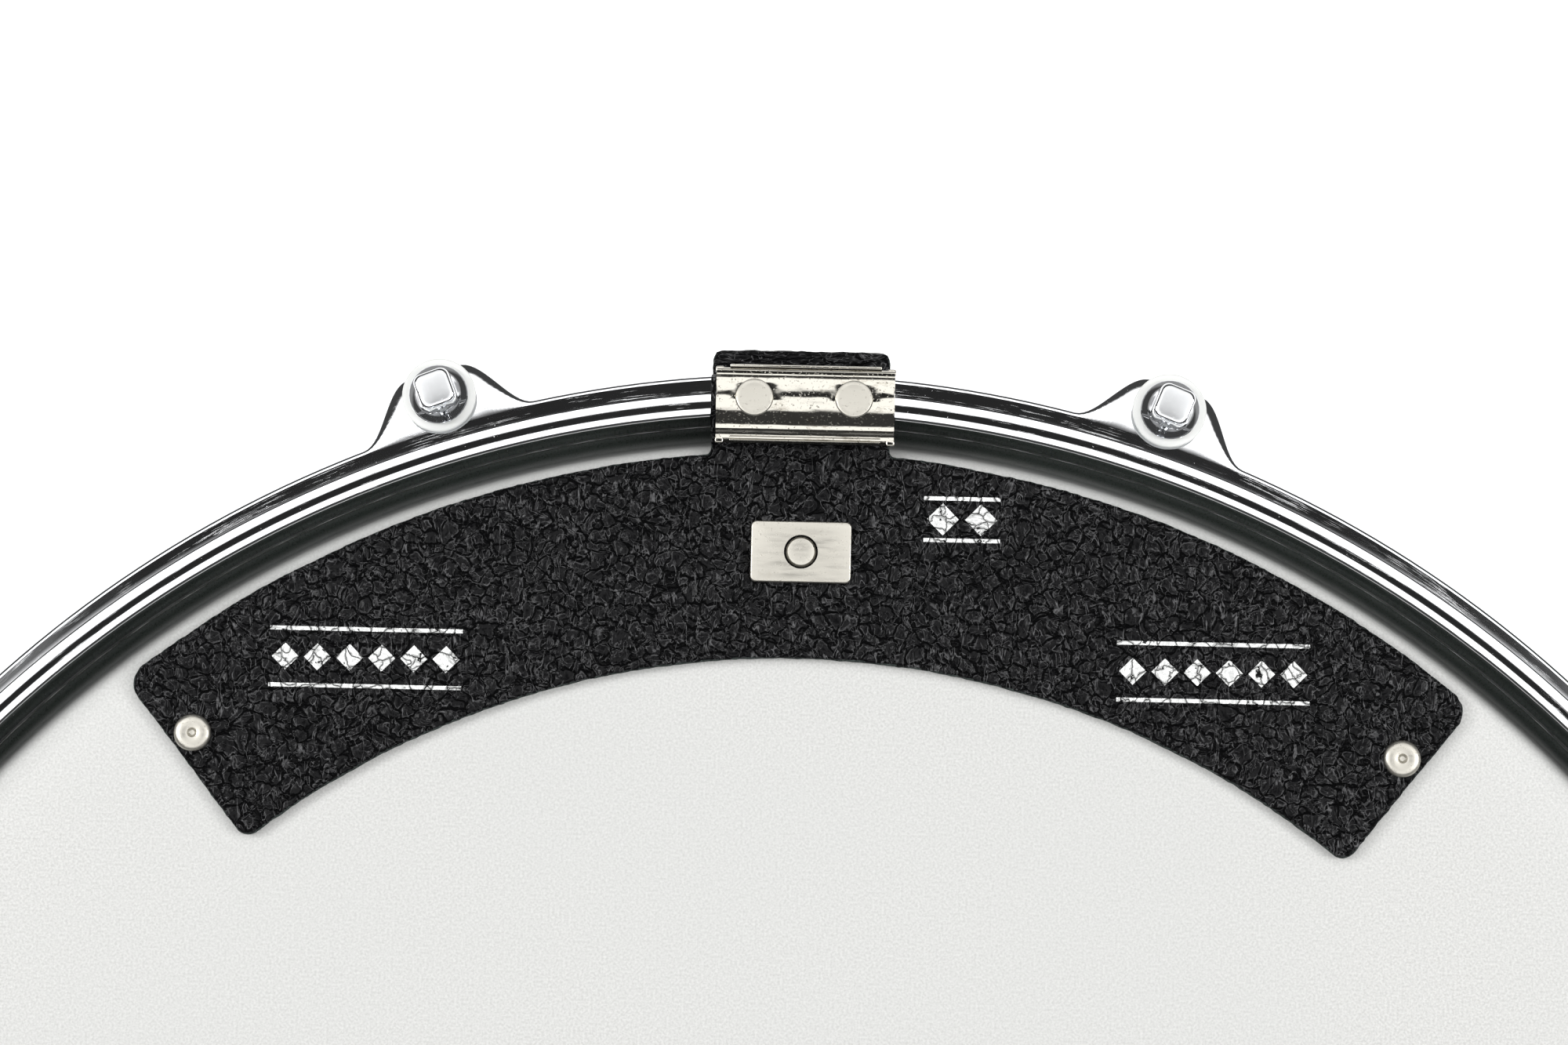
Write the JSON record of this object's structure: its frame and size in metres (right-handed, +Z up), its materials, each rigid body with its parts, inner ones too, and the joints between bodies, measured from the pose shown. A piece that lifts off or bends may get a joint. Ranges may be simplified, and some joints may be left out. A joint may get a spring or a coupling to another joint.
{
  "type": "snare drum",
  "caption": "Ten-lug snare drum with triple-flanged hoops, throw-off, snare wires and a leather damper clipped on its batter rim.",
  "frame": {"origin": "on the drum's axis, at the plane of the resonant rim that it stands on", "axes": "+Z up along the drum's axis to the batter side, +Y towards the damper's clip and the butt end of the snares, -Y towards the throw-off"},
  "size_m": [0.399, 0.3932, 0.1613],
  "materials": {
    "chrome": "bright chrome plate",
    "nickel": "warm nickel plate with fine scratches",
    "steel": "plain zinc-plated steel",
    "aluminium": "mill finish",
    "head_film": "polyester film with a fine matt coating",
    "strap_film": "clear polyester strap",
    "ply": "black satin lacquer over ply",
    "leather": "black pebbled leather with a suede back"
  },
  "bodies": {
    "drum": {"batter_flesh_hoop": "aluminium", "batter_head": "head_film", "batter_hoop": "chrome", "butt_clamp": "chrome", "butt_plate": "chrome", "butt_strap": "strap_film", "lever_screw": "steel", "lug_01": "chrome", "lug_02": "chrome", "lug_03": "chrome", "lug_04": "chrome", "lug_05": "chrome", "lug_06": "chrome", "lug_07": "chrome", "lug_08": "chrome", "lug_09": "chrome", "lug_10": "chrome", "resonant_flesh_hoop": "aluminium", "resonant_head": "head_film", "resonant_hoop": "chrome", "shell": "ply", "strainer_base": "chrome", "vent_grommet": "chrome"},
    "clip": {"damper_clip": "nickel", "damper_strap": "leather", "clip_rivet_left": "nickel", "clip_rivet_right": "nickel"},
    "leaf": {"damper_leaf": "leather", "end_rivet_left": "nickel", "end_rivet_right": "nickel", "steel_plate": "nickel", "plate_rivet": "nickel"},
    "carriage": {"strainer_carriage": "chrome", "throw_off_clamp": "chrome", "throw_off_strap": "strap_film"},
    "lever": {"strainer_lever": "chrome"},
    "knob": {"tension_knob": "chrome"},
    "snares": {"snare_wires": "steel"},
    "batter_rod_01": {"batter_rod_01": "chrome"},
    "batter_rod_02": {"batter_rod_02": "chrome"},
    "batter_rod_03": {"batter_rod_03": "chrome"},
    "batter_rod_04": {"batter_rod_04": "chrome"},
    "batter_rod_05": {"batter_rod_05": "chrome"},
    "batter_rod_06": {"batter_rod_06": "chrome"},
    "batter_rod_07": {"batter_rod_07": "chrome"},
    "batter_rod_08": {"batter_rod_08": "chrome"},
    "batter_rod_09": {"batter_rod_09": "chrome"},
    "batter_rod_10": {"batter_rod_10": "chrome"},
    "resonant_rod_01": {"resonant_rod_01": "chrome"},
    "resonant_rod_02": {"resonant_rod_02": "chrome"},
    "resonant_rod_03": {"resonant_rod_03": "chrome"},
    "resonant_rod_04": {"resonant_rod_04": "chrome"},
    "resonant_rod_05": {"resonant_rod_05": "chrome"},
    "resonant_rod_06": {"resonant_rod_06": "chrome"},
    "resonant_rod_07": {"resonant_rod_07": "chrome"},
    "resonant_rod_08": {"resonant_rod_08": "chrome"},
    "resonant_rod_09": {"resonant_rod_09": "chrome"},
    "resonant_rod_10": {"resonant_rod_10": "chrome"}
  },
  "joints": [
    {"name": "batter_rod_01_turn", "type": "hinge", "parent": "drum", "child": "batter_rod_01", "pos_m": [0.0598, 0.18403, 0.1458], "axis": [0, 0, 1], "range_deg": [-360, 360]},
    {"name": "batter_rod_02_turn", "type": "hinge", "parent": "drum", "child": "batter_rod_02", "pos_m": [0.15654, 0.11374, 0.1458], "axis": [0, 0, 1], "range_deg": [-360, 360]},
    {"name": "batter_rod_03_turn", "type": "hinge", "parent": "drum", "child": "batter_rod_03", "pos_m": [0.1935, 0, 0.1458], "axis": [0, 0, 1], "range_deg": [-360, 360]},
    {"name": "batter_rod_04_turn", "type": "hinge", "parent": "drum", "child": "batter_rod_04", "pos_m": [0.15654, -0.11374, 0.1458], "axis": [0, 0, 1], "range_deg": [-360, 360]},
    {"name": "batter_rod_05_turn", "type": "hinge", "parent": "drum", "child": "batter_rod_05", "pos_m": [0.0598, -0.18403, 0.1458], "axis": [0, 0, 1], "range_deg": [-360, 360]},
    {"name": "batter_rod_06_turn", "type": "hinge", "parent": "drum", "child": "batter_rod_06", "pos_m": [-0.0598, -0.18403, 0.1458], "axis": [0, 0, 1], "range_deg": [-360, 360]},
    {"name": "batter_rod_07_turn", "type": "hinge", "parent": "drum", "child": "batter_rod_07", "pos_m": [-0.15654, -0.11374, 0.1458], "axis": [0, 0, 1], "range_deg": [-360, 360]},
    {"name": "batter_rod_08_turn", "type": "hinge", "parent": "drum", "child": "batter_rod_08", "pos_m": [-0.1935, 0, 0.1458], "axis": [0, 0, 1], "range_deg": [-360, 360]},
    {"name": "batter_rod_09_turn", "type": "hinge", "parent": "drum", "child": "batter_rod_09", "pos_m": [-0.15654, 0.11374, 0.1458], "axis": [0, 0, 1], "range_deg": [-360, 360]},
    {"name": "batter_rod_10_turn", "type": "hinge", "parent": "drum", "child": "batter_rod_10", "pos_m": [-0.0598, 0.18403, 0.1458], "axis": [0, 0, 1], "range_deg": [-360, 360]},
    {"name": "resonant_rod_01_turn", "type": "hinge", "parent": "drum", "child": "resonant_rod_01", "pos_m": [-0.0598, 0.18403, 0.011], "axis": [0, 0, -1], "range_deg": [-360, 360]},
    {"name": "resonant_rod_02_turn", "type": "hinge", "parent": "drum", "child": "resonant_rod_02", "pos_m": [-0.15654, 0.11374, 0.011], "axis": [0, 0, -1], "range_deg": [-360, 360]},
    {"name": "resonant_rod_03_turn", "type": "hinge", "parent": "drum", "child": "resonant_rod_03", "pos_m": [-0.1935, 0, 0.011], "axis": [0, 0, -1], "range_deg": [-360, 360]},
    {"name": "resonant_rod_04_turn", "type": "hinge", "parent": "drum", "child": "resonant_rod_04", "pos_m": [-0.15654, -0.11374, 0.011], "axis": [0, 0, -1], "range_deg": [-360, 360]},
    {"name": "resonant_rod_05_turn", "type": "hinge", "parent": "drum", "child": "resonant_rod_05", "pos_m": [-0.0598, -0.18403, 0.011], "axis": [0, 0, -1], "range_deg": [-360, 360]},
    {"name": "resonant_rod_06_turn", "type": "hinge", "parent": "drum", "child": "resonant_rod_06", "pos_m": [0.0598, -0.18403, 0.011], "axis": [0, 0, -1], "range_deg": [-360, 360]},
    {"name": "resonant_rod_07_turn", "type": "hinge", "parent": "drum", "child": "resonant_rod_07", "pos_m": [0.15654, -0.11374, 0.011], "axis": [0, 0, -1], "range_deg": [-360, 360]},
    {"name": "resonant_rod_08_turn", "type": "hinge", "parent": "drum", "child": "resonant_rod_08", "pos_m": [0.1935, 0, 0.011], "axis": [0, 0, -1], "range_deg": [-360, 360]},
    {"name": "resonant_rod_09_turn", "type": "hinge", "parent": "drum", "child": "resonant_rod_09", "pos_m": [0.15654, 0.11374, 0.011], "axis": [0, 0, -1], "range_deg": [-360, 360]},
    {"name": "resonant_rod_10_turn", "type": "hinge", "parent": "drum", "child": "resonant_rod_10", "pos_m": [0.0598, 0.18403, 0.011], "axis": [0, 0, -1], "range_deg": [-360, 360]},
    {"name": "damper_lift", "type": "slide", "parent": "drum", "child": "clip", "axis": [0, 0, 1], "range_m": [0, 0.03]},
    {"name": "damper_flip", "type": "hinge", "parent": "clip", "child": "leaf", "pos_m": [0, 0.1764, 0.1568], "axis": [-1, 0, 0], "range_deg": [0, 175]},
    {"name": "lever_throw", "type": "hinge", "parent": "drum", "child": "lever", "pos_m": [0, -0.1827, 0.0864], "axis": [0, 1, 0], "range_deg": [0, 90]},
    {"name": "carriage_drop", "type": "slide", "parent": "drum", "child": "carriage", "axis": [0, 0, -1], "range_m": [0, 0.003]},
    {"name": "snares_drop", "type": "hinge", "parent": "drum", "child": "snares", "pos_m": [0, 0.165, 0.0068], "axis": [1, 0, 0], "range_deg": [0, 0.5]},
    {"name": "knob_turn", "type": "hinge", "parent": "drum", "child": "knob", "pos_m": [0, -0.1852, 0.1104], "axis": [0, 0, 1], "range_deg": [-540, 540]}
  ],
  "couplings": [
    {"joint": "lever_throw", "follows": "carriage_drop", "rad_per_m": 523.6},
    {"joint": "snares_drop", "follows": "carriage_drop", "rad_per_m": 2.9089}
  ]
}
